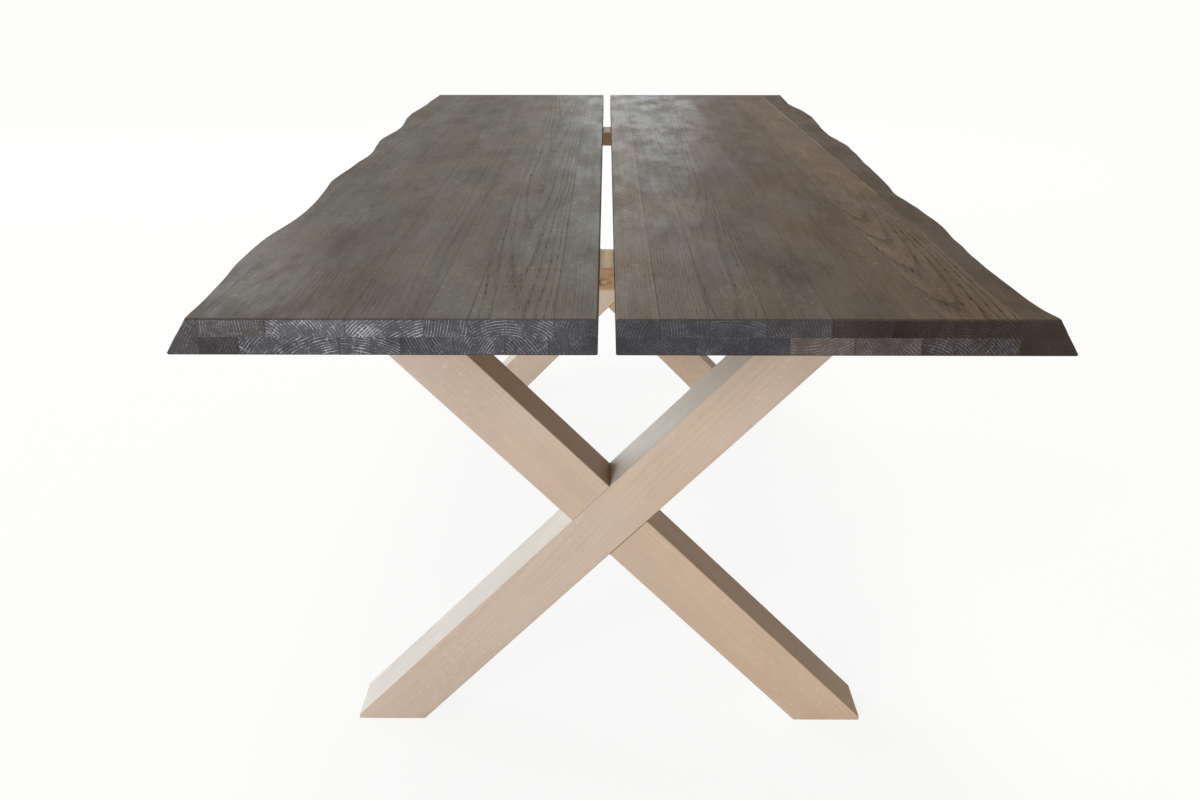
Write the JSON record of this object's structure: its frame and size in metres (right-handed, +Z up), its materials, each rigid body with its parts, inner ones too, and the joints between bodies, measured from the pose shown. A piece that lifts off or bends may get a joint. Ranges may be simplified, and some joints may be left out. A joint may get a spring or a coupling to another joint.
{
  "type": "dining table",
  "caption": "Dining table with a dark oak top of live-edge planks parted by a gap, on pale oak legs that cross in flush half laps under crossbars.",
  "frame": {"origin": "on the floor under the middle of the top's outline", "axes": "+Y along the planks towards the far end, +X to the right seen from the near end, +Z up"},
  "size_m": [0.9736, 2, 0.75],
  "materials": {
    "stained_oak": "dark grey-brown stain under a semi-matt oil",
    "whitened_oak": "pale whitened oak, matt",
    "zinc_steel": "bright zinc plate"
  },
  "bodies": {
    "root": {"far_crossbar": "whitened_oak", "far_leg_rising_left": "whitened_oak", "far_leg_rising_right": "whitened_oak", "left_live_edge": "stained_oak", "left_lower_stave_1": "stained_oak", "left_lower_stave_2": "stained_oak", "left_lower_stave_3": "stained_oak", "left_lower_stave_4": "stained_oak", "left_lower_stave_5": "stained_oak", "left_lower_stave_6": "stained_oak", "left_lower_stave_7": "stained_oak", "left_upper_stave_1": "stained_oak", "left_upper_stave_2": "stained_oak", "left_upper_stave_3": "stained_oak", "left_upper_stave_4": "stained_oak", "left_upper_stave_5": "stained_oak", "left_upper_stave_6": "stained_oak", "leg_tenons": "whitened_oak", "near_crossbar": "whitened_oak", "near_leg_rising_left": "whitened_oak", "near_leg_rising_right": "whitened_oak", "plank_bolts": "zinc_steel", "plank_inserts": "zinc_steel", "right_live_edge": "stained_oak", "right_lower_stave_1": "stained_oak", "right_lower_stave_2": "stained_oak", "right_lower_stave_3": "stained_oak", "right_lower_stave_4": "stained_oak", "right_lower_stave_5": "stained_oak", "right_lower_stave_6": "stained_oak", "right_upper_stave_1": "stained_oak", "right_upper_stave_2": "stained_oak", "right_upper_stave_3": "stained_oak", "right_upper_stave_4": "stained_oak", "right_upper_stave_5": "stained_oak", "right_upper_stave_6": "stained_oak", "right_upper_stave_7": "stained_oak"}
  },
  "joints": []
}
